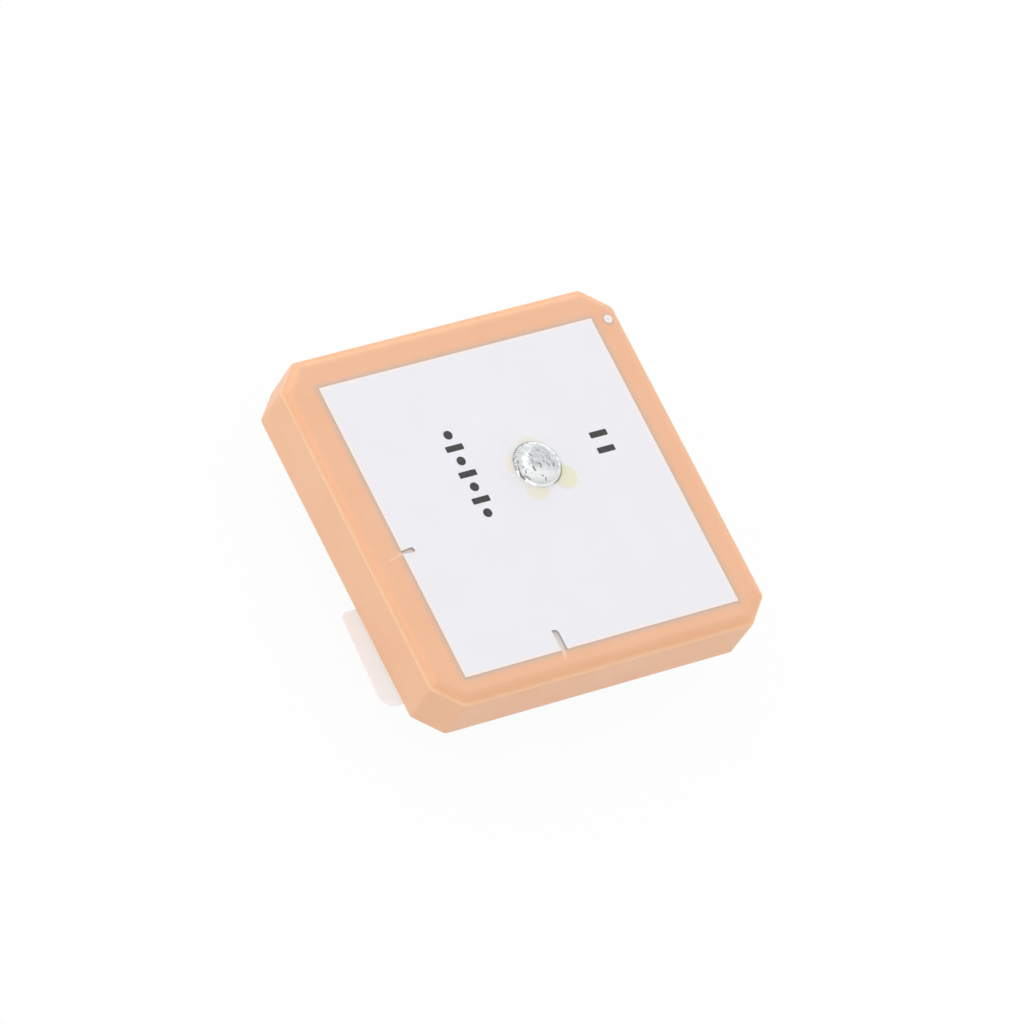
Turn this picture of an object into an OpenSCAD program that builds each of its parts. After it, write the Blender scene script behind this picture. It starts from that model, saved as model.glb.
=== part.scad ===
// Pin-fed ceramic patch antenna on its peel-off mounting pad.
// The origin is the centre of the mounting face, under the release film. +Z points out of the radiating
// side, and +X and +Y run along the block's sides.

/* [Ceramic block] */
// Width of the square block across its sides
block_w = 25; // [24:0.5:30]
// Thickness of the block
block_t = 4; // [2:0.5:6]
// Leg of each 45 degree corner, measured along a side
corner_leg = 1.7; // [0.8:0.1:2]
// Distance from a side to the inner edge of the pressed bevel
bevel_in = 0.5; // [0.4:0.05:1]
// Drop of the bevel from the top face to the rim
bevel_drop = 0.38; // [0.1:0.01:0.6]
// Flat rim that the press punch leaves outside the bevel
rim_land = 0.2; // [0.1:0.01:0.3]
// Rounding of the rim's outer edge
rim_round = 0.1; // [0.02:0.01:0.1]
// Bevel round the underside
foot_bevel = 0.1; // [0.05:0.01:0.4]

/* [Electrodes] */
// Patch size along X and Y
patch_size = [20.5, 21.05]; // [18:0.05:21.5]
// Patch centre, a little off the block's centre as the screen printed it
patch_at = [0.13, -0.3]; // [-0.3:0.01:0.3]
// Thickness of the fired silver
silver_t = 0.02; // [0.01:0.005:0.05]
// Bare margin between the ground electrode and the block's sides
ground_margin = 0.45; // [0.4:0.05:1]
// Diameter of the bare ring round the feed hole on the underside
ground_gap_d = 2.6; // [2.4:0.1:3]
// Diameter of the silver dot that marks the block's first corner
corner_dot_d = 0.62; // [0.4:0.01:0.62]
// Distance from the bevel's inner edges to the middle of that dot
corner_dot_in = [0.47, 2.11]; // [0.32:0.01:3]

/* [Feed] */
// Place of the feed pin
feed_at = [1.68, 1.53]; // [0:0.01:3]
// Diameter of the hole through the ceramic
feed_hole_d = 1.5; // [1.4:0.05:1.7]
// Diameter of the pin's shoulder, which centres it in the hole
shoulder_d = 1.3; // [1.2:0.01:1.35]
// How far the shoulder stands out of the block's underside
shoulder_past = 0.05; // [0.01:0.01:0.1]
// Diameter of the pin's free tail
tail_d = 0.9; // [0.7:0.05:0.95]
// Length of the tail below the mounting face
tail_l = 2.5; // [1.5:0.1:5]
// Chamfer round the tail's tip
tip_chamfer = 0.15; // [0.05:0.05:0.3]
// Diameter of the pin's nail head
head_d = 2.3; // [2:0.1:2.5]
// Thickness of the pin's nail head
head_t = 0.3; // [0.2:0.05:0.4]

/* [Solder] */
// Diameter of the solder cap where it wets the patch
solder_d = 3.3; // [2.8:0.05:3.3]
// Height of the solder cap above the patch
solder_h = 0.5; // [0.4:0.02:1]
// How square the cap's shoulder is, from an ellipse upwards
solder_square = 2.6; // [2:0.1:4]
// Thickness of the dried flux
flux_t = 0.03; // [0.01:0.01:0.06]

/* [Tuning grooves] */
// Depth of the grooves, which are ground through the patch into the ceramic
groove_depth = 0.15; // [0.05:0.01:0.25]
// Length of the groove across the edge that faces -X
side_groove_l = 0.92; // [0.8:0.01:1.5]
// Width of that groove at its round inner end
side_groove_w = 0.38; // [0.2:0.01:0.4]
// Place of that groove along Y
side_groove_y = -1.8; // [-6:0.1:-0.5]
// Length of the groove across the edge that faces -Y
end_groove_l = 1.45; // [0.6:0.01:2]
// Width of that groove
end_groove_w = 0.46; // [0.3:0.01:0.6]
// Place of that groove along X
end_groove_x = -2.79; // [-6:0.1:-0.5]
// Depth of the scratches where the grinding bit ran out over the bare ceramic
scratch_depth = 0.04; // [0.02:0.01:0.08]

/* [Ink marks] */
// Thickness of the ink
ink_t = 0.01; // [0.01:0.01:0.03]
// Middle of the row of lot marks along X
lot_x = -3.22; // [-7:0.01:-2.8]
// Middle of the row of lot marks along Y
lot_y = 2.12; // [-3:0.01:3]
// Step from one lot mark to the next
lot_step = 0.95; // [0.7:0.01:1]
// Middle of the pair of grade marks along X
grade_x = 6.82; // [6.4:0.01:8]
// Middle of the pair of grade marks along Y
grade_y = 1.91; // [-4:0.01:4]
// Step from one grade mark to the other
grade_step = 1.14; // [0.8:0.01:1.2]
// Length and width of an ink bar
ink_bar = [1.27, 0.42]; // [0.3:0.01:1.3]
// Diameter of an ink dot
ink_dot_d = 0.62; // [0.3:0.01:0.7]

/* [Mounting pad] */
// Width of the square adhesive pad and of its release film
pad_w = 22; // [18:0.5:23]
// Corner radius of the pad
pad_r = 1.2; // [0.5:0.1:3]
// Diameter of the hole in the pad round the pin
pad_hole_d = 2.6; // [2.6:0.1:4]
// Thickness of the adhesive pad
pad_t = 0.15; // [0.1:0.01:0.5]
// Thickness of the release film
film_t = 0.08; // [0.05:0.01:0.15]
// Reach of the film's pull tab past the block's side, at its low and high end along Y
tab_out = [1.2, 0.95]; // [0.5:0.05:4]
// Width of the tab
tab_w = 6.85; // [3:0.05:8]
// Middle of the tab along Y
tab_y = -6.33; // [-6.5:0.01:6.5]
// Corner radii at the tab's low and high end along Y
tab_r = [1, 0.4]; // [0.2:0.1:1.2]

/* [Hidden] */
$fn = 64;
spare = 1; // extra length of a cut, so that it ends outside the piece

// Heights of the layers, from the mounting face up
ground_z = film_t + pad_t;
block_z = ground_z + silver_t;
top_z = block_z + block_t;
print_z = top_z + silver_t;

// Low corner of the patch, where both grooves open
patch_low = patch_at - patch_size / 2;
groove_past = 0.05; // how far the grooves run past the patch's edge

// Direction and reach of the scratches, and half of their width at the patch's edge
side_scratch = [-0.95, -0.3];
end_scratch = [-0.3, -0.55];
side_scratch_half = [0, 0.11];
end_scratch_half = [0.19, 0];

// Flux lobes: place from the pin, and radius
flux_lobes = [
    [[-0.81, -1.69], 0.85],
    [[1.49, -1.16], 1.06],
    [[-1.26, 0.4], 0.71],
    [[0.12, 1.27], 0.8]
];

// The lot marks in order, as bars or dots
lot_bars = [false, true, false, true, false, true, false];

// Points of an arc about a centre
function arc(centre, r, from, to, steps = 6) =
    [for (i = [0:steps]) centre + r * [cos(from + (to - from) * i / steps), sin(from + (to - from) * i / steps)]];

// Quarter outline of a dome with a steep side and a low crown
function dome(r, h, square, steps = 14) =
    [for (i = [0:steps]) [r * pow(cos(90 * i / steps), 2 / square), h * pow(sin(90 * i / steps), 2 / square)]];

function mirrored(points) = [for (i = [len(points) - 1:-1:0]) [-points[i][0], points[i][1]]];

// Right half of the block's section across two opposite sides, from the foot up
function block_section(w) = concat(
    [[w / 2 - foot_bevel, 0], [w / 2, foot_bevel]],
    arc([w / 2 - rim_round, block_t - bevel_drop - rim_round], rim_round, 0, 90, 3),
    [[w / 2 - rim_land, block_t - bevel_drop], [w / 2 - bevel_in, block_t]]
);

// Half outline of the pin's nail head, standing on the patch
function head_section() = concat(
    arc([head_d / 2 - head_t / 2, head_t / 2], head_t / 2, -90, 90),
    [[0, head_t]]
);

module at_feed(z) {
    translate([feed_at[0], feed_at[1], z]) children();
}

module rounded_rectangle(size, r) {
    square([size[0] - 2 * r, size[1]], center = true);
    square([size[0], size[1] - 2 * r], center = true);
    for (x = [-1, 1], y = [-1, 1])
        translate([x * (size[0] / 2 - r), y * (size[1] / 2 - r)]) circle(r);
}

// Two opposite sides of the block as an endless bar, with the bevels that the press gives them
module side_pair(w, turn) {
    half = block_section(w);
    rotate([90, 0, turn])
        linear_extrude(height = 2 * block_w, center = true)
            polygon(concat(half, mirrored(half)));
}

// Round inner end inside the patch, and a narrow neck at its edge
module side_groove() {
    r = side_groove_w / 2;
    neck = r / 2;
    end_x = patch_low[0] + side_groove_l - r;
    mouth_x = patch_low[0] - groove_past;
    translate([end_x, side_groove_y]) circle(r);
    polygon([
        [end_x, side_groove_y - r],
        [end_x, side_groove_y + r],
        [mouth_x, side_groove_y + neck],
        [mouth_x, side_groove_y - neck]
    ]);
}

// Straight groove whose inner end is swept round at one corner
module end_groove() {
    left = end_groove_x - end_groove_w / 2;
    right = end_groove_x + end_groove_w / 2;
    mouth_y = patch_low[1] - groove_past;
    end_y = patch_low[1] + end_groove_l;
    sweep_r = end_groove_w * 0.75;
    polygon(concat(
        [[left, mouth_y], [right, mouth_y]],
        arc([right - sweep_r, end_y - sweep_r], sweep_r, 0, 90),
        [[left, end_y]]
    ));
}

// Scratch from the patch's edge over the bare ceramic, narrower at its end
module scratch(mouth, reach, half_w) {
    polygon([
        mouth - half_w,
        mouth + half_w,
        mouth + reach + half_w / 2,
        mouth + reach - half_w / 2
    ]);
}

module groove_cuts() {
    translate([0, 0, top_z - groove_depth])
        linear_extrude(height = groove_depth + spare) {
            side_groove();
            end_groove();
        }
}

module scratch_cuts() {
    translate([0, 0, top_z - scratch_depth])
        linear_extrude(height = scratch_depth + spare) {
            scratch([patch_low[0], side_groove_y], side_scratch, side_scratch_half);
            scratch([end_groove_x, patch_low[1]], end_scratch, end_scratch_half);
        }
}

// The corners are a second pair of bars, turned 45 degrees
module ceramic_body() {
    corner_w = (block_w - corner_leg) * sqrt(2);
    color([0.94, 0.74, 0.6])
        difference() {
            translate([0, 0, block_z])
                intersection() {
                    side_pair(block_w, 0);
                    side_pair(block_w, 90);
                    side_pair(corner_w, 45);
                    side_pair(corner_w, 135);
                }
            at_feed(block_z - spare) cylinder(h = block_t + 2 * spare, d = feed_hole_d);
            groove_cuts();
            scratch_cuts();
        }
}

module patch_electrode() {
    color([0.93, 0.93, 0.94])
        difference() {
            translate([patch_low[0], patch_low[1], top_z])
                cube([patch_size[0], patch_size[1], silver_t]);
            at_feed(top_z - spare) cylinder(h = 2 * spare, d = feed_hole_d);
            groove_cuts();
        }
}

module ground_electrode() {
    w = block_w - 2 * ground_margin;
    color([0.9, 0.9, 0.91])
        difference() {
            translate([0, 0, ground_z])
                linear_extrude(height = silver_t)
                    intersection() {
                        square(w, center = true);
                        rotate(45) square((w - corner_leg) * sqrt(2), center = true);
                    }
            at_feed(ground_z - spare) cylinder(h = 2 * spare, d = ground_gap_d);
        }
}

module feed_pin() {
    tip_r = tail_d / 2 - tip_chamfer;
    tip_z = -tail_l - print_z;
    shoulder_z = block_z - shoulder_past - print_z;
    shank = [
        [0, tip_z],
        [tip_r, tip_z],
        [tail_d / 2, tip_z + tip_chamfer],
        [tail_d / 2, shoulder_z],
        [shoulder_d / 2, shoulder_z],
        [shoulder_d / 2, 0]
    ];
    color([0.8, 0.8, 0.81])
        at_feed(print_z) rotate_extrude() polygon(concat(shank, head_section()));
}

module solder_cap() {
    color([0.83, 0.85, 0.86])
        at_feed(print_z)
            rotate_extrude()
                difference() {
                    polygon(concat([[0, 0]], dome(solder_d / 2, solder_h, solder_square)));
                    polygon(concat([[0, 0]], head_section()));
                }
}

module flux_film() {
    color([0.92, 0.91, 0.79, 0.8])
        at_feed(print_z)
            linear_extrude(height = flux_t)
                difference() {
                    for (lobe = flux_lobes) translate(lobe[0]) circle(lobe[1]);
                    circle(d = solder_d);
                }
}

module corner_dot() {
    edge = block_w / 2 - bevel_in;
    color([0.95, 0.93, 0.92])
        translate([edge - corner_dot_in[0], edge - corner_dot_in[1], top_z])
            cylinder(h = silver_t, d = corner_dot_d);
}

module ink_mark(x, y, is_bar) {
    color([0.25, 0.24, 0.24])
        translate([x, y, print_z])
            linear_extrude(height = ink_t)
                if (is_bar) rounded_rectangle(ink_bar, 0.06);
                else circle(d = ink_dot_d);
}

module lot_marks() {
    last = len(lot_bars) - 1;
    for (i = [0:last]) ink_mark(lot_x, lot_y - (i - last / 2) * lot_step, lot_bars[i]);
}

module grade_marks() {
    for (side = [-1, 1]) ink_mark(grade_x, grade_y + side * grade_step / 2, true);
}

module adhesive_pad() {
    color([0.9, 0.88, 0.82])
        difference() {
            translate([0, 0, film_t]) linear_extrude(height = pad_t) rounded_rectangle([pad_w, pad_w], pad_r);
            at_feed(-spare) cylinder(h = 2 * spare, d = pad_hole_d);
        }
}

module pull_tab() {
    root_x = pad_r - pad_w / 2;
    side_x = -block_w / 2;
    low_y = tab_y - tab_w / 2;
    high_y = tab_y + tab_w / 2;
    polygon(concat(
        [[root_x, high_y]],
        arc([side_x - tab_out[1] + tab_r[1], high_y - tab_r[1]], tab_r[1], 90, 180),
        arc([side_x - tab_out[0] + tab_r[0], low_y + tab_r[0]], tab_r[0], 180, 270),
        [[root_x, low_y]]
    ));
}

// The film has the pad's outline, with a pull tab past the side that faces -X
module release_film() {
    color([0.95, 0.92, 0.9, 0.8])
        difference() {
            linear_extrude(height = film_t) {
                rounded_rectangle([pad_w, pad_w], pad_r);
                pull_tab();
            }
            at_feed(-spare) cylinder(h = 2 * spare, d = pad_hole_d);
        }
}

ceramic_body();
patch_electrode();
ground_electrode();
feed_pin();
solder_cap();
flux_film();
corner_dot();
lot_marks();
grade_marks();
adhesive_pad();
release_film();
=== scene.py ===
import math

import bmesh
import bpy
from mathutils import Matrix, Vector, noise


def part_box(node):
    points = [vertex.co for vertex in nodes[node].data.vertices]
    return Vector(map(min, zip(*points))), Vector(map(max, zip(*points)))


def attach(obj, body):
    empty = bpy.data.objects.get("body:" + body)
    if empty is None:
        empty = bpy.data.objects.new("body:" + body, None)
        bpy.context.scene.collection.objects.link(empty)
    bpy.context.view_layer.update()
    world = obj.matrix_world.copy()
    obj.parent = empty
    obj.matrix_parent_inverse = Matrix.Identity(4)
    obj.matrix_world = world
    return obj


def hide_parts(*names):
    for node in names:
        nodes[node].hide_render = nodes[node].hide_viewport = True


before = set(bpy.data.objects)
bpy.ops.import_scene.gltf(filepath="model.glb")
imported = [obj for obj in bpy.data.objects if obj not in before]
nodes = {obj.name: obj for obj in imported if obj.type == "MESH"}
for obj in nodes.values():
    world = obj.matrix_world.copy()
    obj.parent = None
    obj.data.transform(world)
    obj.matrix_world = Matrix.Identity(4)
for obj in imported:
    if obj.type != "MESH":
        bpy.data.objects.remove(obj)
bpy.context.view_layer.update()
mm = 0.001
weld = 0.001 * mm  # points nearer than this are one point

blockLow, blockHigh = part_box("ceramic_body")
patchLow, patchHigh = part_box("patch_electrode")
capLow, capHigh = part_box("solder_cap")
dotLow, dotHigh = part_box("corner_dot")
topZ = patchLow.z  # the ceramic's flat top, which the silver is printed on
printZ = patchHigh.z
feedAt = Vector(((capLow.x + capHigh.x) / 2, (capLow.y + capHigh.y) / 2, 0))
capRadius = (capHigh.x - capLow.x) / 2
dotAt, dotRadius = (dotLow + dotHigh) / 2, (dotHigh.x - dotLow.x) / 2
flatten = (1, 1, 0)  # an offset times this has no height
print("frame loaded:", len(nodes), "nodes")


# Node and object helpers

def addNode(tree, kind, inputs=None, **settings):
    made = tree.nodes.new("ShaderNode" + kind)
    for key, value in settings.items():
        setattr(made, key, value)
    for key, value in (inputs or {}).items():
        if isinstance(value, bpy.types.NodeSocket):
            tree.links.new(value, made.inputs[key])
        else:
            made.inputs[key].default_value = value
    return made


def newMaterial(name):
    made = bpy.data.materials.new(name)
    made.use_nodes = True
    made.node_tree.nodes.clear()
    return made, made.node_tree


def setOutput(tree, shader):
    out = addNode(tree, "OutputMaterial")
    tree.links.new(shader, out.inputs["Surface"])


def position(tree):
    return addNode(tree, "TexCoord").outputs["Object"]


def noiseAt(tree, where, perMm, detail=3, rough=0.5):
    settings = {"Vector": where, "Scale": perMm / mm, "Detail": detail, "Roughness": rough}
    return addNode(tree, "TexNoise", settings).outputs["Fac"]


def ramp(tree, value, stops):
    made = addNode(tree, "ValToRGB", {"Fac": value})
    bar = made.color_ramp
    while len(bar.elements) < len(stops):
        bar.elements.new(0.5)
    for element, (place, colour) in zip(bar.elements, stops):
        element.position = place
        element.color = (*colour, 1) if isinstance(colour, tuple) else (colour, colour, colour, 1)
    return made.outputs["Color"]


def mixColour(tree, factor, low, high, blend="MIX"):
    made = addNode(tree, "Mix", data_type="RGBA", blend_type=blend)
    for socket, value in ((made.inputs[0], factor), (made.inputs[6], low), (made.inputs[7], high)):
        if isinstance(value, bpy.types.NodeSocket):
            tree.links.new(value, socket)
        else:
            socket.default_value = (*value, 1) if isinstance(value, tuple) else value
    return made.outputs[2]


def calc(tree, operation, *values):
    made = addNode(tree, "Math", operation=operation)
    for socket, value in zip(made.inputs, values):
        if isinstance(value, bpy.types.NodeSocket):
            tree.links.new(value, socket)
        else:
            socket.default_value = value
    return made.outputs[0]


def vectorCalc(tree, operation, *vectors):
    made = addNode(tree, "VectorMath", dict(enumerate(vectors)), operation=operation)
    return made.outputs["Value" if operation in ("DOT_PRODUCT", "DISTANCE", "LENGTH") else "Vector"]


def axisOf(tree, vector, axis):
    return addNode(tree, "SeparateXYZ", {"Vector": vector}).outputs[axis]


def bump(tree, height, distance, strength=1.0):
    settings = {"Height": height, "Distance": distance * mm, "Strength": strength}
    return addNode(tree, "Bump", settings).outputs["Normal"]


def pastPatch(tree, where):
    # How far a place lies outside the patch's outline, negative inside it
    middle, half = (patchLow + patchHigh) / 2, (patchHigh - patchLow) / 2
    offset = vectorCalc(tree, "ABSOLUTE", vectorCalc(tree, "SUBTRACT", where, middle))
    offset = vectorCalc(tree, "MULTIPLY", vectorCalc(tree, "SUBTRACT", offset, half), flatten)
    inside = calc(tree, "MAXIMUM", axisOf(tree, offset, "X"), axisOf(tree, offset, "Y"))
    inside = calc(tree, "MINIMUM", inside, 0.0)
    outside = vectorCalc(tree, "LENGTH", vectorCalc(tree, "MAXIMUM", offset, (0, 0, 0)))
    return calc(tree, "ADD", inside, outside)


def fromPin(tree, where):
    # Offset from the pin along X and Y
    return vectorCalc(tree, "MULTIPLY", vectorCalc(tree, "SUBTRACT", where, feedAt), flatten)


def srgb(red, green, blue):
    def toLinear(level):
        level /= 255
        return level / 12.92 if level <= 0.04045 else ((level + 0.055) / 1.055) ** 2.4
    return toLinear(red), toLinear(green), toLinear(blue)


def newObject(name, bm, *materials):
    mesh = bpy.data.meshes.new(name)
    bm.to_mesh(mesh)
    bm.free()
    for material in materials:
        mesh.materials.append(material)
    made = bpy.data.objects.new(name, mesh)
    bpy.context.scene.collection.objects.link(made)
    return made


def finishPiece(piece, slotName, *replaced, smoothAngle=30):
    carried = piece.data.attributes.get("custom_normal")  # a copied node's normals don't fit its new faces
    if carried:
        piece.data.attributes.remove(carried)
    piece.data.shade_smooth()
    piece.data.set_sharp_from_angle(angle=math.radians(smoothAngle))
    weighted = piece.modifiers.new("flatFacesFirst", "WEIGHTED_NORMAL")
    weighted.keep_sharp = True
    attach(piece, "root")
    if replaced:
        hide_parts(*replaced)


def dressNode(name, material):
    mesh = nodes[name].data
    mesh.materials.clear()
    mesh.materials.append(material)


def cutAway(piece, cutters, joinParts=False):
    # joinParts also makes one shell of the piece's parts where they overlap
    for cutter in cutters:
        cut = piece.modifiers.new("cut", "BOOLEAN")
        cut.operation = "DIFFERENCE"
        cut.solver = "EXACT"
        cut.object = cutter
        cut.use_self = joinParts
    bpy.context.view_layer.update()
    shown = piece.evaluated_get(bpy.context.evaluated_depsgraph_get())
    carved = bpy.data.meshes.new_from_object(shown)
    piece.modifiers.clear()
    piece.data = carved


def removeAll(objects):
    for item in objects:
        bpy.data.objects.remove(item)


# Materials

ceramicLook = {
    "colour": srgb(244, 188, 150),
    "warm": srgb(243, 185, 145),
    "pale": srgb(245, 191, 155),
    "grain": srgb(230, 170, 133),
    "bevel": srgb(249, 187, 144),  # painted light: the pressed slopes are coloured warmer than the flats
    "paintedRidgeHighlight": srgb(255, 208, 165),  # painted highlight along the pressed ridge
    "paintedSideShade": (0.96, 1.0, 1.02),  # painted shade: the upright sides are a little less red
    "stain": srgb(207, 185, 169),  # where the silver has bled a little way out of the patch's edge
    "stainReach": 0.6,
    "dotStain": 1.8,  # how many times faster it fades round the corner dot
    "ridgeZ": 3.82,
    "ridgeHalf": 0.075,
}


def ceramicMaterial():
    made, tree = newMaterial("peachCeramic")
    where = position(tree)
    colour = ramp(tree, noiseAt(tree, where, 0.25, 4), [
        (0.3, ceramicLook["warm"]), (0.5, ceramicLook["colour"]), (0.72, ceramicLook["pale"]),
    ])
    specks = ramp(tree, noiseAt(tree, where, 9, 2, 0.6), [(0.3, 0.3), (0.4, 0.0)])
    colour = mixColour(tree, specks, colour, ceramicLook["grain"])
    pastDot = calc(tree, "SUBTRACT", vectorCalc(tree, "DISTANCE", where, dotAt), dotRadius)
    pastDot = calc(tree, "MULTIPLY", pastDot, ceramicLook["dotStain"])
    past = calc(tree, "MINIMUM", pastPatch(tree, where), pastDot)
    past = calc(tree, "DIVIDE", past, ceramicLook["stainReach"] * mm)
    bled = ramp(tree, past, [(0.1, 0.9), (0.35, 0.38), (0.65, 0.1), (1.0, 0.0)])
    colour = mixColour(tree, bled, colour, ceramicLook["stain"])
    # Painted highlight: a lighter band along the pressed ridge near the rim
    offRidge = calc(tree, "SUBTRACT", axisOf(tree, where, "Z"), ceramicLook["ridgeZ"] * mm)
    offRidge = calc(tree, "DIVIDE", calc(tree, "ABSOLUTE", offRidge), ceramicLook["ridgeHalf"] * mm)
    ridgeHighlight = ramp(tree, offRidge, [(0.4, 0.85), (1.0, 0.0)])
    ridgeHighlight = calc(tree, "MULTIPLY", ridgeHighlight, ramp(tree, noiseAt(tree, where, 1.4), [(0.3, 0.7), (0.6, 1.0)]))
    facing = axisOf(tree, addNode(tree, "NewGeometry").outputs["Normal"], "Z")
    # Painted light: the slopes, picked out by which way they face, get a warmer colour
    slopeLightMask = ramp(tree, facing, [(0.3, 0.0), (0.5, 0.8), (0.7, 0.8), (0.97, 0.0)])
    colour = mixColour(tree, slopeLightMask, colour, ceramicLook["bevel"])
    # Painted shade: the upright sides, picked out by which way they face, are made a little less red
    sideShadeMask = ramp(tree, facing, [(0.03, 1.0), (0.12, 0.0)])
    colour = mixColour(tree, sideShadeMask, colour, ceramicLook["paintedSideShade"], blend="MULTIPLY")
    colour = mixColour(tree, ridgeHighlight, colour, ceramicLook["paintedRidgeHighlight"])
    rough = ramp(tree, noiseAt(tree, where, 1.2), [(0.3, 0.42), (0.7, 0.55)])
    grain = calc(tree, "ADD", noiseAt(tree, where, 14, 3), noiseAt(tree, where, 2.2, 2))
    shader = addNode(tree, "BsdfPrincipled", {
        "Base Color": colour, "Roughness": rough, "Normal": bump(tree, grain, 0.01, 0.4),
    })
    setOutput(tree, shader.outputs[0])
    return made


def groundMaterial():
    made, tree = newMaterial("groundCeramic")
    where = position(tree)
    streaks = addNode(tree, "Mapping", {"Vector": where, "Scale": (9, 1.2, 9)}).outputs[0]
    floor = ramp(tree, noiseAt(tree, streaks, 1.2), [
        (0.3, srgb(226, 214, 211)), (0.55, srgb(242, 232, 228)), (0.7, srgb(246, 218, 192)),
    ])
    # Painted shade: the walls of a groove are darker than its floor
    upward = axisOf(tree, addNode(tree, "NewGeometry").outputs["True Normal"], "Z")
    colour = mixColour(tree, ramp(tree, upward, [(0.4, 1.0), (0.7, 0.0)]), floor, srgb(196, 188, 186))
    shader = addNode(tree, "BsdfPrincipled", {
        "Base Color": colour, "Roughness": 0.6, "Normal": bump(tree, noiseAt(tree, where, 12), 0.02, 0.6),
    })
    setOutput(tree, shader.outputs[0])
    return made


def scratchMaterial():
    made, tree = newMaterial("scratchedCeramic")
    where = position(tree)
    colour = ramp(tree, noiseAt(tree, where, 3), [(0.38, srgb(246, 198, 166)), (0.62, srgb(250, 211, 188))])
    shader = addNode(tree, "BsdfPrincipled", {"Base Color": colour, "Roughness": 0.65})
    setOutput(tree, shader.outputs[0])
    return made


silverLook = {
    "colour": srgb(239, 238, 242),
    "shade": srgb(237, 236, 240),
    "specks": srgb(216, 216, 220),
    "edge": srgb(250, 237, 229),  # the print thins at its edge and lets the ceramic's warmth through
    "edgeReach": 0.22,
}


def silverMaterial():
    made, tree = newMaterial("firedSilver")
    where = position(tree)
    clouds = noiseAt(tree, where, 0.3, 4)
    colour = ramp(tree, clouds, [(0.3, silverLook["shade"]), (0.7, silverLook["colour"])])
    specks = ramp(tree, noiseAt(tree, where, 7, 3, 0.6), [(0.28, 0.3), (0.38, 0.0)])
    colour = mixColour(tree, specks, colour, silverLook["specks"])
    inside = calc(tree, "DIVIDE", pastPatch(tree, where), -silverLook["edgeReach"] * mm)
    thin = ramp(tree, inside, [(0.25, 0.85), (1.0, 0.0)])
    colour = mixColour(tree, thin, colour, silverLook["edge"])
    swells = calc(tree, "MULTIPLY", noiseAt(tree, where, 1.1), 2.0)
    grain = calc(tree, "ADD", noiseAt(tree, where, 18, 2), swells)
    shader = addNode(tree, "BsdfPrincipled", {
        "Base Color": colour, "Metallic": 0.55, "Roughness": 0.55, "Normal": bump(tree, grain, 0.006, 0.5),
    })
    setOutput(tree, shader.outputs[0])
    return made


solder = {
    "square": 2.6,  # how square its shoulder is, from an ellipse upwards
    "head": (2.3, 0.3),  # width and height of the pin's head inside it
    "skirt": [(0, 0), (0.04, 0.073), (0.08, 0.147), (0.12, 0.22)],  # sloping edge: distance in, and height
    "skirtIn": 0.045,  # how far in from its foot the dome above the skirt starts
    "rings": 44,
    "turns": 180,
    "pale": (-0.35, -0.94, 0),  # directions of its side with a painted highlight, of its crusty edge, and of its edge with painted shade
    "crusty": (-0.64, 0.77, 0),
    "shadedEdge": (0.8, -0.6, 0),
    "wobble": [(1.1, 0.02), (3.1, 0.01)],  # waves for each mm, and how far they lift its skin
    "dentsFrom": 0.5,  # share of its height above which dents and wobble have their full depth
    "dents": [  # place from the pin along X and Y, radius and depth, in mm; a lump has a negative depth
        (-0.25, 0.94, 0.25, -0.025),
        (0.2, 0.85, 0.2, -0.018),
        (0.85, 0.45, 0.25, -0.025),
        (0.44, -0.33, 0.09, 0.012),
        (0.78, -0.54, 0.1, 0.015),
        (-0.27, -0.98, 0.09, 0.015),
        (-0.16, -1.25, 0.09, 0.015),
        (-1.1, -0.36, 0.1, 0.02),
        (-0.9, -0.7, 0.1, 0.02),
    ],
    "streaks": [  # dark streaks: from and to, from the pin along X and Y, and half of the width, in mm
        (-0.19, -0.12, -0.07, -0.25, 0.06),
        (-0.07, -0.25, -0.16, -0.45, 0.06),
        (-0.66, -0.3, -0.63, -0.54, 0.09),
        (-0.57, -0.25, -0.67, -0.33, 0.05),
        (0.21, -0.04, 0.23, -0.18, 0.05),
        (0.36, -0.22, 0.45, -0.44, 0.06),
        (0.85, -0.41, 0.74, -0.57, 0.07),
        (-0.31, -0.97, -0.26, -1.02, 0.07),
        (-0.14, -1.16, -0.16, -1.33, 0.06),
        (-1.2, -0.38, -1.25, -0.5, 0.06),
        (-1.32, -0.08, -1.22, -0.08, 0.05),
    ],
    "faintStreaks": [
        (0.71, 0.03, 0.81, -0.32, 0.06),
        (0.59, 0.22, 0.71, -0.15, 0.05),
        (0.61, 0.76, 0.79, 0.6, 0.06),
        (0.79, 0.6, 0.85, 0.32, 0.06),
        (-0.48, 0.61, -0.34, 0.46, 0.09),
        (0.14, 0.83, 0.19, 0.66, 0.08),
        (-0.53, 0.29, -0.5, 0.07, 0.06),
        (-0.5, 0.07, -0.62, -0.14, 0.06),
        (0.24, 0.31, 0.3, 0.07, 0.06),
    ],
    "darkRimReflection": [  # painted reflection: a dark line along its edge, where it mirrors the dark opening
        (-1.48, 0.14, -1.51, -0.07, 0.035),
        (-1.51, -0.07, -1.53, -0.3, 0.045),
        (-1.53, -0.3, -1.5, -0.53, 0.06),
        (-1.5, -0.53, -1.43, -0.68, 0.065),
        (-1.43, -0.68, -1.39, -0.8, 0.06),
    ],
}


def towardsSide(tree, offset, side):
    # 1 at the cap's edge on that side, and 0 at its middle
    return calc(tree, "DIVIDE", vectorCalc(tree, "DOT_PRODUCT", offset, side), capRadius)


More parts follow.
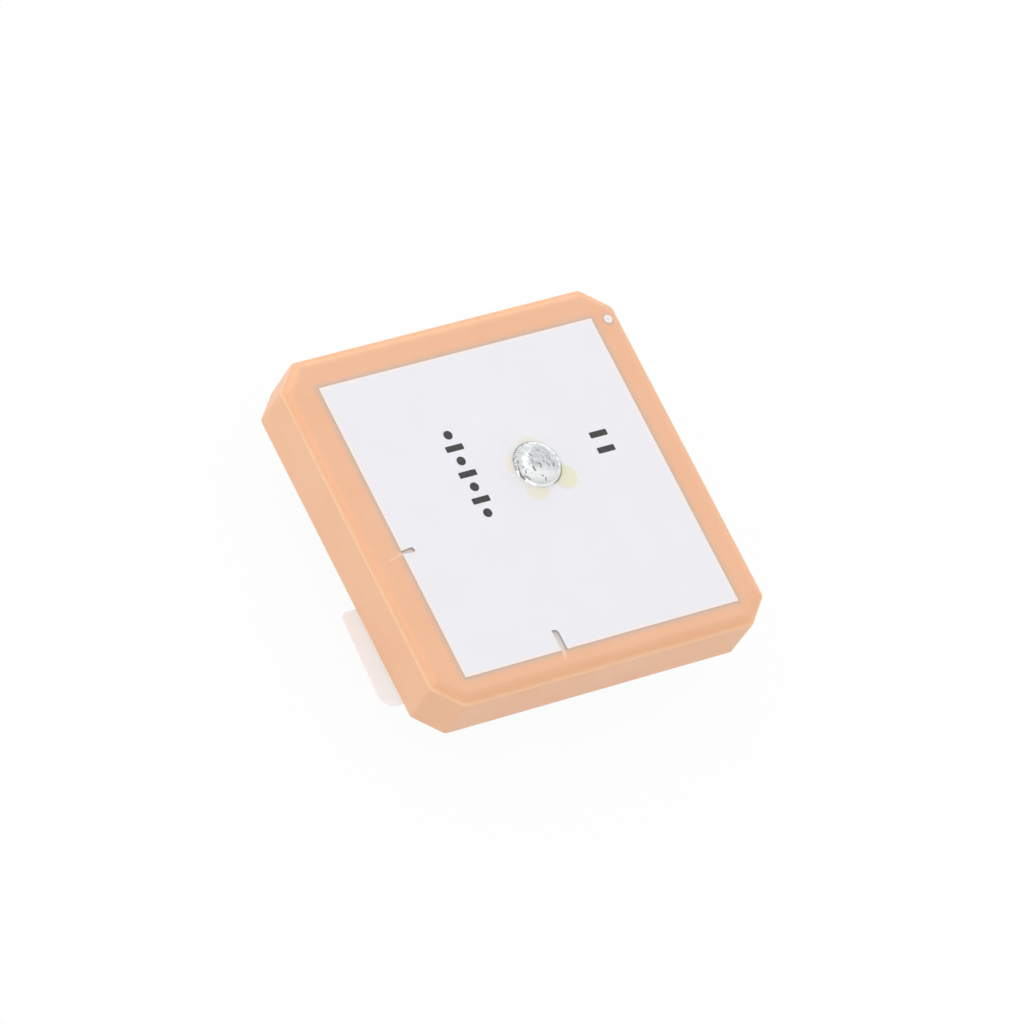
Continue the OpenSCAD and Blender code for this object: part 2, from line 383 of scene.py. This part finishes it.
def nearStreaks(tree, offset, streaks):
    # Distance from the nearest of some straight streaks, as a share of its half width
    nearest = None
    for fromX, fromY, toX, toY, half in streaks:
        start, run = Vector((fromX, fromY, 0)) * mm, Vector((toX - fromX, toY - fromY, 0)) * mm
        past = vectorCalc(tree, "SUBTRACT", offset, start)
        along = vectorCalc(tree, "DOT_PRODUCT", past, run / run.length_squared)
        along = addNode(tree, "Clamp", {"Value": along}).outputs[0]
        foot = addNode(tree, "VectorMath", {0: run, "Scale": along}, operation="SCALE").outputs[0]
        away = calc(tree, "DIVIDE", vectorCalc(tree, "DISTANCE", past, foot), half * mm)
        nearest = away if nearest is None else calc(tree, "MINIMUM", away, nearest)
    return nearest


def solderMaterial():
    made, tree = newMaterial("reflowedTin")
    where = position(tree)
    clouds = noiseAt(tree, where, 1.6, 4, 0.6)
    colour = ramp(tree, clouds, [(0.3, srgb(196, 201, 203)), (0.65, srgb(222, 225, 226))])
    wrinkles = ramp(tree, noiseAt(tree, where, 1.7, 3, 0.6), [(0.46, 0.0), (0.5, 0.55), (0.54, 0.0)])
    colour = mixColour(tree, wrinkles, colour, srgb(168, 170, 174))
    offset = fromPin(tree, where)
    away = calc(tree, "DIVIDE", vectorCalc(tree, "LENGTH", offset), capRadius)
    # Painted highlight: paler on one side
    paintedBrightness = ramp(tree, towardsSide(tree, offset, solder["pale"]), [(0.12, 0.0), (0.5, 0.9)])
    colour = mixColour(tree, paintedBrightness, colour, srgb(250, 251, 251))
    for name, darkness in (("faintStreaks", 0.45), ("streaks", 0.85)):
        dark = ramp(tree, nearStreaks(tree, offset, solder[name]), [(0.3, darkness), (1.0, 0.0)])
        colour = mixColour(tree, dark, colour, srgb(122, 119, 124))
    # A crusty edge
    crust = ramp(tree, noiseAt(tree, where, 6, 2, 0.7), [(0.46, 0.0), (0.54, 0.7)])
    crust = calc(tree, "MULTIPLY", crust, ramp(tree, away, [(0.8, 0.0), (0.88, 1.0)]))
    crusty = ramp(tree, towardsSide(tree, offset, solder["crusty"]), [(0.4, 0.0), (0.6, 1.0)])
    colour = mixColour(tree, calc(tree, "MULTIPLY", crust, crusty), colour, srgb(134, 131, 129))
    # Painted shade: a grey edge opposite, darkest on the skirt
    shadedEdge = towardsSide(tree, offset, solder["shadedEdge"])
    shoulder = ramp(tree, away, [(0.82, 0.0), (0.88, 1.0)])
    shoulder = calc(tree, "MULTIPLY", ramp(tree, shadedEdge, [(0.72, 0.0), (0.88, 0.75)]), shoulder)
    colour = mixColour(tree, shoulder, colour, srgb(190, 194, 188))
    skirt = ramp(tree, away, [(0.93, 0.0), (0.955, 1.0)])
    skirt = calc(tree, "MULTIPLY", ramp(tree, shadedEdge, [(0.7, 0.0), (0.88, 0.65)]), skirt)
    colour = mixColour(tree, skirt, colour, srgb(160, 158, 145))
    # Painted reflection: a dark line along the edge, which isn't metal
    darkRimReflection = ramp(tree, nearStreaks(tree, offset, solder["darkRimReflection"]), [(0.4, 0.95), (1.0, 0.0)])
    darkRimReflection = calc(tree, "MULTIPLY", ramp(tree, noiseAt(tree, where, 5), [(0.35, 0.6), (0.55, 1.0)]), darkRimReflection)
    colour = mixColour(tree, darkRimReflection, colour, srgb(96, 92, 89))
    metal = calc(tree, "SUBTRACT", 1.0, darkRimReflection)
    rough = ramp(tree, noiseAt(tree, where, 2.4, 3), [(0.35, 0.08), (0.65, 0.18)])
    swells = calc(tree, "MULTIPLY", noiseAt(tree, where, 2.5, 2), 2.5)
    grain = calc(tree, "ADD", noiseAt(tree, where, 9, 2), swells)
    shader = addNode(tree, "BsdfPrincipled", {
        "Base Color": colour, "Metallic": metal, "Roughness": rough, "Normal": bump(tree, grain, 0.012, 0.6),
    })
    setOutput(tree, shader.outputs[0])
    return made


def tinMaterial():
    made, tree = newMaterial("tinnedPin")
    where = position(tree)
    turned = addNode(tree, "Mapping", {"Vector": where, "Scale": (1, 1, 12)}).outputs[0]
    colour = ramp(tree, noiseAt(tree, where, 2, 3), [(0.3, srgb(196, 196, 198)), (0.7, srgb(222, 222, 223))])
    shader = addNode(tree, "BsdfPrincipled", {
        "Base Color": colour, "Metallic": 1.0, "Roughness": 0.32,
        "Normal": bump(tree, noiseAt(tree, turned, 4), 0.01, 0.4),
    })
    setOutput(tree, shader.outputs[0])
    return made


flux = {
    "lobes": [  # place from the pin along X and Y, radius, and how thick and strongly coloured it is
        (-0.83, -1.56, 0.92, 0.85),
        (1.45, -1.25, 0.95, 1.0),
        (-1.33, 0.33, 0.9, 0.65),
        (0.12, 1.27, 0.92, 0.5),
        (-0.17, 0.17, 1.98, 0.3),
    ],
    "ragged": (1.7, 0.12),  # waves for each mm, and how far they sway its outline
    "edgeHeight": 0.004,
    "fade": 0.2,  # how far in from its edge it has its full thickness and colour
    "sink": 0.01,  # step between the lobes' feet, which are cut off level once the lobes are joined
    "yellowing": 0.0625,  # for each mm towards +X
}


def fluxShare(tree, where):
    # How much of the flux's colour shows, from nothing at the lobes' edges
    offset = fromPin(tree, where)
    share = 0.0
    for x, y, radius, strength in flux["lobes"]:
        away = vectorCalc(tree, "DISTANCE", offset, (x * mm, y * mm, 0))
        inside = calc(tree, "SUBTRACT", radius * mm, away)
        inside = calc(tree, "DIVIDE", inside, flux["fade"] * mm)
        inside = addNode(tree, "Clamp", {"Value": inside}).outputs[0]
        share = calc(tree, "MAXIMUM", calc(tree, "MULTIPLY", inside, strength), share)
    return share


def fluxMaterial():
    made, tree = newMaterial("driedFlux")
    where = position(tree)
    yellower = calc(tree, "MULTIPLY", axisOf(tree, where, "X"), flux["yellowing"] / mm)
    clouds = calc(tree, "ADD", noiseAt(tree, where, 1.4, 3), yellower)
    colour = ramp(tree, clouds, [
        (0.4, srgb(246, 236, 224)), (0.58, srgb(245, 239, 220)), (0.75, srgb(244, 241, 212)),
    ])
    colour = mixColour(tree, fluxShare(tree, where), srgb(246, 245, 250), colour)
    shader = addNode(tree, "BsdfPrincipled", {
        "Base Color": colour, "Roughness": 0.3, "Alpha": 0.96,
        "Normal": bump(tree, noiseAt(tree, where, 3), 0.01, 0.5),
    })
    setOutput(tree, shader.outputs[0])
    return made


def inkMaterial():
    made, tree = newMaterial("printedInk")
    where = position(tree)
    colour = ramp(tree, noiseAt(tree, where, 6, 3, 0.65), [
        (0.35, srgb(52, 48, 49)), (0.62, srgb(66, 62, 62)), (0.75, srgb(96, 92, 93)),
    ])
    shader = addNode(tree, "BsdfPrincipled", {
        "Base Color": colour, "Roughness": 0.55, "Normal": bump(tree, noiseAt(tree, where, 16), 0.004, 0.5),
    })
    setOutput(tree, shader.outputs[0])
    return made


def dotMaterial():
    made, tree = newMaterial("cornerDotSilver")
    where = position(tree)
    # A grey middle in a paler ring, with the ceramic showing through at its edge
    ring = ramp(tree, calc(tree, "DIVIDE", vectorCalc(tree, "DISTANCE", where, dotAt), dotRadius), [
        (0.3, srgb(228, 228, 226)), (0.55, srgb(252, 242, 237)),
        (0.84, srgb(250, 238, 230)), (1.0, srgb(226, 200, 178)),
    ])
    shader = addNode(tree, "BsdfPrincipled", {
        "Base Color": ring, "Metallic": 0.3, "Roughness": 0.5,
        "Normal": bump(tree, noiseAt(tree, where, 14), 0.006, 0.5),
    })
    setOutput(tree, shader.outputs[0])
    return made


def adhesiveMaterial():
    made, tree = newMaterial("foamAdhesive")
    where = position(tree)
    colour = ramp(tree, noiseAt(tree, where, 3, 4), [(0.3, srgb(224, 220, 208)), (0.7, srgb(238, 235, 225))])
    shader = addNode(tree, "BsdfPrincipled", {
        "Base Color": colour, "Roughness": 0.75, "Normal": bump(tree, noiseAt(tree, where, 9), 0.02, 0.6),
    })
    setOutput(tree, shader.outputs[0])
    return made


film = {
    "paling": -20,  # run along Y, from the part's middle, over which it turns from warm to pale
    "alpha": 0.22,
}


def filmMaterial():
    made, tree = newMaterial("releaseFilm")
    where = position(tree)
    along = calc(tree, "DIVIDE", axisOf(tree, where, "Y"), film["paling"] * mm)
    along = calc(tree, "ADD", along, calc(tree, "MULTIPLY", noiseAt(tree, where, 0.5, 3), 0.3))
    colour = ramp(tree, along, [(0.35, srgb(248, 222, 202)), (0.7, srgb(245, 242, 240))])
    shader = addNode(tree, "BsdfPrincipled", {
        "Base Color": colour, "Roughness": 0.4, "Alpha": film["alpha"],
        "Normal": bump(tree, noiseAt(tree, where, 0.8), 0.02, 0.4),
    })
    setOutput(tree, shader.outputs[0])
    return made


ceramic = ceramicMaterial()
groundCeramic = groundMaterial()
scratchedCeramic = scratchMaterial()
silver = silverMaterial()
print("materials made")


# Cutters, and the tuning grooves that one set of them cuts through the patch and into the ceramic

cutters = {
    "lift": 0.5,  # height of a groove's or a scratch's cutter
    "hole": 1.5,  # width of the feed hole
    "through": 6,  # length of a round cutter, which is more than the block's height
    "slab": 10,  # size of the cube that levels the flux's foot
}
grooves = {
    "depth": 0.15,
    "past": 0.05,  # run over the patch's edge
    "sideLength": 0.92,
    "sideWidth": 0.38,
    "sideY": -1.8,
    "neckShare": 0.55,  # neck's width at the patch's edge, as a share of the round end's
    "endLength": 1.45,
    "endWidth": 0.46,
    "endX": -2.79,
    "endRounds": (0.07, 0.33),  # radii of its two inner corners
    "scratchDepth": 0.025,
    "sideScratch": (-1.05, -0.28, 0.15),  # reach along X and Y, and half of the width
    "endScratch": (-0.24, -0.6, 0.2),
}

# A cutter has the block's materials too, so that a cut face keeps its own
blockMaterials = (ceramic, groundCeramic, scratchedCeramic)
groundIndex, scratchIndex = 1, 2  # their places in it


def newCutter(name, bm, *materials):
    cutter = newObject(name, bm, *materials)
    cutter.hide_render = True
    return cutter


def raised(bm, name, materialIndex):
    up = bmesh.ops.extrude_face_region(bm, geom=bm.faces[:])
    lifted = [item for item in up["geom"] if isinstance(item, bmesh.types.BMVert)]
    bmesh.ops.translate(bm, verts=lifted, vec=(0, 0, cutters["lift"] * mm))
    bmesh.ops.recalc_face_normals(bm, faces=bm.faces)
    for face in bm.faces:
        face.material_index = materialIndex
    return newCutter(name, bm, *blockMaterials)


def roundCorners(bm, verts, radius, segments):
    bmesh.ops.bevel(bm, geom=verts, offset=radius * mm, segments=segments, profile=0.5, affect="VERTICES",
                    material=-1)


def sideGrooveCutter():
    # A circle whose outer half is drawn out to the patch's edge, and narrows towards it
    radius = grooves["sideWidth"] / 2 * mm
    endX = patchLow.x + grooves["sideLength"] * mm - radius
    mouthX = patchLow.x - grooves["past"] * mm
    bm = bmesh.new()
    made = bmesh.ops.create_circle(bm, cap_ends=True, segments=40, radius=radius)
    for vert in made["verts"]:
        back = max(0, -vert.co.x / radius)
        if back and abs(vert.co.y) > radius * 0.01:
            vert.co.y = math.copysign(radius * (1 - (1 - grooves["neckShare"]) * back), vert.co.y)
        vert.co.x -= back * (endX - radius - mouthX)
    bmesh.ops.translate(bm, verts=bm.verts, vec=(endX, grooves["sideY"] * mm, topZ - grooves["depth"] * mm))
    return raised(bm, "sideGrooveCutter", groundIndex)


def endGrooveCutter():
    width, length = grooves["endWidth"] * mm, (grooves["endLength"] + grooves["past"]) * mm
    bm = bmesh.new()
    bmesh.ops.create_grid(bm, x_segments=1, y_segments=1, size=0.5)
    bmesh.ops.scale(bm, verts=bm.verts, vec=(width, length, 1))
    for side, radius in zip((-1, 1), grooves["endRounds"]):
        # The inner corner on that side
        corner = max(bm.verts, key=lambda vert: vert.co.y * 10 + vert.co.x * side)
        roundCorners(bm, [corner], radius, 8)
    middleY = patchLow.y - grooves["past"] * mm + length / 2
    bmesh.ops.translate(bm, verts=bm.verts, vec=(grooves["endX"] * mm, middleY, topZ - grooves["depth"] * mm))
    return raised(bm, "endGrooveCutter", groundIndex)


def scratchCutter(name, mouth, across, reach):
    # A sliver from the groove's mouth outwards, half as wide at its far end
    reachX, reachY, half = [value * mm for value in reach]
    far = Vector((reachX, reachY, 0))
    bm = bmesh.new()
    near = [bm.verts.new(mouth - across * half), bm.verts.new(mouth + across * half)]
    tip = [bm.verts.new(mouth + far + across * half / 2), bm.verts.new(mouth + far - across * half / 2)]
    bm.faces.new(near + tip)
    bmesh.ops.recalc_face_normals(bm, faces=bm.faces)
    return raised(bm, name, scratchIndex)


def roundCutter(name, radius):
    bm = bmesh.new()
    place = Matrix.Translation((feedAt.x, feedAt.y, (blockLow.z + blockHigh.z) / 2))
    bmesh.ops.create_cone(bm, cap_ends=True, segments=96, radius1=radius, radius2=radius,
                          depth=cutters["through"] * mm, matrix=place)
    return newCutter(name, bm)


def slabCutter(name, top):
    size = cutters["slab"] * mm
    bm = bmesh.new()
    bmesh.ops.create_cube(bm, size=size)
    bmesh.ops.translate(bm, verts=bm.verts, vec=(feedAt.x, feedAt.y, top - size / 2))
    return newCutter(name, bm)


grooveCutters = [sideGrooveCutter(), endGrooveCutter()]
scratchZ = topZ - grooves["scratchDepth"] * mm
sideMouth = Vector((patchLow.x, grooves["sideY"] * mm, scratchZ))
endMouth = Vector((grooves["endX"] * mm, patchLow.y, scratchZ))
scratchCutters = [
    scratchCutter("sideScratchCutter", sideMouth, Vector((0, 1, 0)), grooves["sideScratch"]),
    scratchCutter("endScratchCutter", endMouth, Vector((1, 0, 0)), grooves["endScratch"]),
]
holeCutter = roundCutter("feedHoleCutter", cutters["hole"] / 2 * mm)
print("cutters ready")


# Ceramic block

block = {
    "cornerLeg": 1.7,
    "uprightRound": 0.16,
    # Edge outlines from the side inwards: distance in, height past the rim or foot, and reach of softening
    "rim": [(0, 0, 0.11), (0.26, 0, 0.13), (0.47, 0.36, 0.27), (0.85, 0.38, 0.1), (1, 0.38, 0)],
    "foot": [(0, 0, 0.05), (0.1, 0.1, 0.05), (0.4, 0.1, 0)],
    "cornerSteps": 5,
}


def softOutline(corners):
    # The first corner is softened too, so the outline starts that far before it
    points = []
    for index, (across, height, soft) in enumerate(corners):
        corner = Vector((across, height))
        if not soft:
            continue  # the flat middle, which a single face closes
        before = Vector(corners[index - 1][:2]) if index else corner - Vector((0, 1))
        after = Vector(corners[index + 1][:2])
        first = corner + (before - corner).normalized() * soft
        last = corner + (after - corner).normalized() * soft
        for step in range(block["cornerSteps"] + 1):
            along = step / block["cornerSteps"]
            points.append(first * (1 - along) ** 2 + corner * 2 * along * (1 - along) + last * along ** 2)
    return points


def addRing(bm, across, height):
    # A level sheet with cut and rounded corners, whose border becomes one ring of the block
    others = set(bm.faces)
    size, middle = blockHigh - blockLow, (blockHigh + blockLow) / 2
    sheet = bmesh.ops.create_grid(bm, x_segments=1, y_segments=1, size=0.5)["verts"]
    bmesh.ops.scale(bm, verts=sheet, vec=(size.x - 2 * across * mm, size.y - 2 * across * mm, 1))
    bmesh.ops.translate(bm, verts=sheet, vec=(middle.x, middle.y, height))
    leg = block["cornerLeg"] - across * (2 - math.sqrt(2))  # all eight sides move in by the same distance
    for radius, segments in ((leg, 1), (block["uprightRound"], block["cornerSteps"])):
        face = (set(bm.faces) - others).pop()
        roundCorners(bm, face.verts[:], radius, segments)
    return (set(bm.faces) - others).pop()


def buildBlock():
    footEnd, rimEnd = block["foot"][-1][1], block["rim"][-1][1]
    outline = [(point.x, blockLow.z + (footEnd - point.y) * mm) for point in softOutline(block["foot"])[::-1]]
    outline += [(point.x, blockHigh.z - (rimEnd - point.y) * mm) for point in softOutline(block["rim"])]
    bm = bmesh.new()
    # The rings are joined well apart, then each one drops to its own level
    sheets = [addRing(bm, across, index * mm) for index, (across, level) in enumerate(outline)]
    rings = [(sheet.edges[:], sheet.verts[:]) for sheet in sheets]
    bmesh.ops.delete(bm, geom=sheets, context="FACES_ONLY")
    for lower, upper in zip(rings, rings[1:]):
        bmesh.ops.bridge_loops(bm, edges=lower[0] + upper[0])
    bmesh.ops.holes_fill(bm, edges=rings[0][0] + rings[-1][0])
    bmesh.ops.recalc_face_normals(bm, faces=bm.faces)
    for (edges, verts), (across, level) in zip(rings, outline):
        for vert in verts:
            vert.co.z = level
    piece = newObject("ceramicBlock", bm, *blockMaterials)
    cutAway(piece, grooveCutters + scratchCutters + [holeCutter])
    finishPiece(piece, "ceramic", "ceramic_body", smoothAngle=40)


buildBlock()
print("ceramic block built")


# Silver patch

def buildPatch():
    bm = bmesh.new()
    bmesh.ops.create_cube(bm, size=1)
    bmesh.ops.scale(bm, verts=bm.verts, vec=patchHigh - patchLow)
    bmesh.ops.translate(bm, verts=bm.verts, vec=(patchHigh + patchLow) / 2)
    piece = newObject("silverPatch", bm, silver)
    cutAway(piece, grooveCutters + [holeCutter])
    finishPiece(piece, "fired_silver", "patch_electrode")


buildPatch()
removeAll(grooveCutters + scratchCutters + [holeCutter])
print("patch printed")


# Solder cap

def buildSolder():
    # Its outline, turned: round the pin's head, up the skirt and over the crown
    height = capHigh.z - capLow.z
    power = 2 / solder["square"]
    headRadius, headHeight = solder["head"][0] / 2 * mm, solder["head"][1] * mm
    bm = bmesh.new()
    places = [(0, headHeight), (headRadius, headHeight), (headRadius, 0)]
    places += [(capRadius - across * mm, up * mm) for across, up in solder["skirt"]]
    crown = capRadius - solder["skirtIn"] * mm
    for step in range(solder["rings"] + 1):
        turn = math.pi / 2 * step / solder["rings"]
        up = height * math.sin(turn) ** power
        across = crown * max(math.cos(turn), 0) ** power
        if across < places[-1][0]:
            places.append((across, up))
    outline = [bm.verts.new((across, 0, up)) for across, up in places]
    edges = [bm.edges.new(pair) for pair in zip(outline, outline[1:])]
    bmesh.ops.spin(bm, geom=outline + edges, cent=(0, 0, 0), axis=(0, 0, 1), angle=2 * math.pi,
                   steps=solder["turns"], use_merge=True)
    bmesh.ops.remove_doubles(bm, verts=bm.verts, dist=weld)
    for vert in bm.verts:
        if vert.co.xy.length <= headRadius and vert.co.z <= headHeight:
            continue  # the hollow for the pin's head stays true
        place = vert.co / mm
        lift = sum(noise.noise(place * waves) * most for waves, most in solder["wobble"])
        share = min(1, vert.co.z / height / solder["dentsFrom"])
        vert.co += vert.co.normalized() * lift * mm * share
        for x, y, size, depth in solder["dents"]:
            away = math.hypot(place.x - x, place.y - y) / size
            vert.co.z -= depth * mm * math.exp(-away * away) * share
    bmesh.ops.translate(bm, verts=bm.verts, vec=feedAt + Vector((0, 0, capLow.z)))
    bmesh.ops.recalc_face_normals(bm, faces=bm.faces)
    piece = newObject("solderDome", bm, solderMaterial())
    finishPiece(piece, "solder", "solder_cap", smoothAngle=60)


buildSolder()
print("solder cap turned and dented")


# Dried flux

def buildFlux():
    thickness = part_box("flux_film")[1].z - printZ
    waves, most = flux["ragged"]
    bm = bmesh.new()
    for index, (x, y, radius, strength) in enumerate(flux["lobes"]):
        sunk = (index + 1) * flux["sink"] * mm
        place = Matrix.Translation(feedAt + Vector((x * mm, y * mm, printZ - sunk)))
        rim = bmesh.ops.create_circle(bm, cap_ends=True, segments=72, radius=radius * mm, matrix=place)
        rim = rim["verts"]
        for vert in rim:
            sway = noise.noise(vert.co * waves / mm) * most * mm
            vert.co.xy += (vert.co - feedAt).xy.normalized() * sway
        grown = bmesh.ops.extrude_face_region(bm, geom=rim[0].link_faces[:])["geom"]
        lifted = [item for item in grown if isinstance(item, bmesh.types.BMVert)]
        bmesh.ops.translate(bm, verts=lifted, vec=(0, 0, sunk + flux["edgeHeight"] * mm))
        bmesh.ops.recalc_face_normals(bm, faces=bm.faces)
        tops = [item for item in grown if isinstance(item, bmesh.types.BMFace)]
        rise = thickness * strength - flux["edgeHeight"] * mm
        bmesh.ops.inset_region(bm, faces=tops, thickness=flux["fade"] * mm, depth=rise, use_even_offset=True)
    piece = newObject("fluxLobes", bm, fluxMaterial())
    fluxCutters = [roundCutter("capCutter", capRadius), slabCutter("footCutter", printZ)]
    cutAway(piece, fluxCutters, joinParts=True)
    removeAll(fluxCutters)
    finishPiece(piece, "flux", "flux_film", smoothAngle=50)


buildFlux()
print("flux laid")


# Adhesive pad

pad = {
    "edgeRound": 0.02,
    "clearance": 0.004,  # above the film, whose see-through face mustn't be level with the pad's
    "flat": 2,  # degrees; faces that turn by less become one
    "sharp": 1,  # radians; edges that turn by more are rounded
    "slack": 0.005,  # how near to a height an edge counts as lying there
}


def sharpEdgesAt(bm, height):
    bm.normal_update()
    found = []
    for edge in bm.edges:
        there = all(abs(vert.co.z - height) < pad["slack"] * mm for vert in edge.verts)
        if there and edge.calc_face_angle(0) > pad["sharp"]:
            found.append(edge)
    return found


def buildPad():
    # The node's own mesh, merged and with its flat faces whole again
    bm = bmesh.new()
    bm.from_mesh(nodes["adhesive_pad"].data)
    bmesh.ops.remove_doubles(bm, verts=bm.verts, dist=weld)
    bmesh.ops.dissolve_limit(bm, angle_limit=math.radians(pad["flat"]), verts=bm.verts, edges=bm.edges)
    padLow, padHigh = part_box("adhesive_pad")
    foot = padLow.z + pad["clearance"] * mm
    for vert in bm.verts:
        vert.co.z = max(vert.co.z, foot)
    for height in (foot, padHigh.z):
        bmesh.ops.bevel(bm, geom=sharpEdgesAt(bm, height), offset=pad["edgeRound"] * mm, offset_type="OFFSET",
                        segments=2, profile=0.5, affect="EDGES", material=-1)
    bmesh.ops.recalc_face_normals(bm, faces=bm.faces)
    piece = newObject("foamPad", bm, adhesiveMaterial())
    finishPiece(piece, "adhesive", "adhesive_pad", smoothAngle=50)


buildPad()
print("pad stuck on")


# The other nodes keep their shape and get a finish

ink = inkMaterial()
dressNode("ground_electrode", silver)
dressNode("feed_pin", tinMaterial())
dressNode("corner_dot", dotMaterial())
dressNode("lot_marks", ink)
dressNode("grade_marks", ink)
dressNode("release_film", filmMaterial())
print("nodes dressed")


# Floor, light and camera

studio = {
    "floorHalf": 2500,
    "floorZ": -2.52,  # just under the pin's tip
    "floorColour": (0.96, 0.96, 0.96),
    "floorGlow": 0.94,  # only the camera, glossy and see-through rays meet it
    "tentSides": 1.45,
    "tentRoof": 0.915,
    "tentTurn": (0.15, 0.45),  # heights between which the sides turn into the roof
    "tentSlope": (-0.04, 0.34, 0),  # how much brighter the tent is towards +X, +Y and +Z
    "softbox": (0.208, 0.408, 0.89),  # its direction
    "softboxLight": 3.8,
    "softboxReach": (0.9945, 0.998),  # cosines of the angles where it ends and where it is full
    "opening": (-0.52, -0.32, 0.79),  # the hole that the camera looks in through
    "openingShare": 0.5,
    "openingReach": (0.94, 0.975),
}


def floorMaterial():
    made, tree = newMaterial("paperFloor")
    path = addNode(tree, "LightPath").outputs
    seen = calc(tree, "MAXIMUM", path["Is Camera Ray"], path["Is Transmission Ray"])
    seen = calc(tree, "MAXIMUM", seen, path["Is Glossy Ray"])
    paper = addNode(tree, "BsdfDiffuse", {"Color": (*studio["floorColour"], 1)}).outputs[0]
    glow = addNode(tree, "Emission", {"Color": (1, 1, 1, 1), "Strength": 1.0}).outputs[0]
    share = calc(tree, "MULTIPLY", seen, studio["floorGlow"])
    setOutput(tree, addNode(tree, "MixShader", {0: share, 1: paper, 2: glow}).outputs[0])
    return made


def buildFloor():
    bm = bmesh.new()
    bmesh.ops.create_grid(bm, x_segments=1, y_segments=1, size=studio["floorHalf"] * mm)
    bmesh.ops.translate(bm, verts=bm.verts, vec=(0, 0, studio["floorZ"] * mm))
    floor = newObject("floor", bm, floorMaterial())


def smoothStep(tree, value, start, end, low, high):
    settings = {"Value": value, "From Min": start, "From Max": end, "To Min": low, "To Max": high}
    return addNode(tree, "MapRange", settings, interpolation_type="SMOOTHSTEP").outputs[0]


def spotAround(tree, towards, name, outside, inside):
    near = vectorCalc(tree, "DOT_PRODUCT", towards, Vector(studio[name]).normalized())
    return smoothStep(tree, near, *studio[name + "Reach"], outside, inside)


def lightWorld():
    world = bpy.data.worlds.new("lightTent")
    bpy.context.scene.world = world
    world.use_nodes = True
    tree = world.node_tree
    tree.nodes.clear()
    towards = addNode(tree, "TexCoord").outputs["Generated"]
    lean = vectorCalc(tree, "DOT_PRODUCT", towards, studio["tentSlope"])
    height = axisOf(tree, towards, "Z")
    tent = smoothStep(tree, height, *studio["tentTurn"], studio["tentSides"], studio["tentRoof"])
    light = calc(tree, "ADD", lean, tent)
    light = calc(tree, "ADD", light, spotAround(tree, towards, "softbox", 0.0, studio["softboxLight"]))
    light = calc(tree, "MULTIPLY", light, spotAround(tree, towards, "opening", 1.0, studio["openingShare"]))
    # The camera sees plain white
    camera = addNode(tree, "LightPath").outputs["Is Camera Ray"]
    light = addNode(tree, "Mix", {0: camera, 2: light, 3: 1.0}).outputs[0]
    glow = addNode(tree, "Background", {"Color": (1, 1, 1, 1), "Strength": light}).outputs[0]
    out = addNode(tree, "OutputWorld")
    tree.links.new(glow, out.inputs["Surface"])


cameraSetup = {
    "at": (-267.54, -166.75, 407.5),
    "lookAt": (1.216, 0.645, 0.0),
    "roll": 36.59,  # degrees, anticlockwise as seen from behind the camera
    "lens": 290.55,
    "sensor": 36,
    "clip": (0.01, 10),  # metres
}


def placeCamera():
    lens = bpy.data.cameras.new("camera")
    lens.sensor_width = cameraSetup["sensor"]
    lens.lens = cameraSetup["lens"]
    lens.clip_start, lens.clip_end = cameraSetup["clip"]
    camera = bpy.data.objects.new("camera", lens)
    bpy.context.scene.collection.objects.link(camera)
    at, target = Vector(cameraSetup["at"]) * mm, Vector(cameraSetup["lookAt"]) * mm
    facing = (target - at).to_track_quat("-Z", "Y").to_matrix().to_4x4()
    roll = Matrix.Rotation(math.radians(cameraSetup["roll"]), 4, "Z")
    camera.matrix_world = Matrix.Translation(at) @ facing @ roll
    bpy.context.scene.camera = camera


buildFloor()
lightWorld()
placeCamera()
bpy.context.scene.view_settings.view_transform = "Standard"
print("studio set")
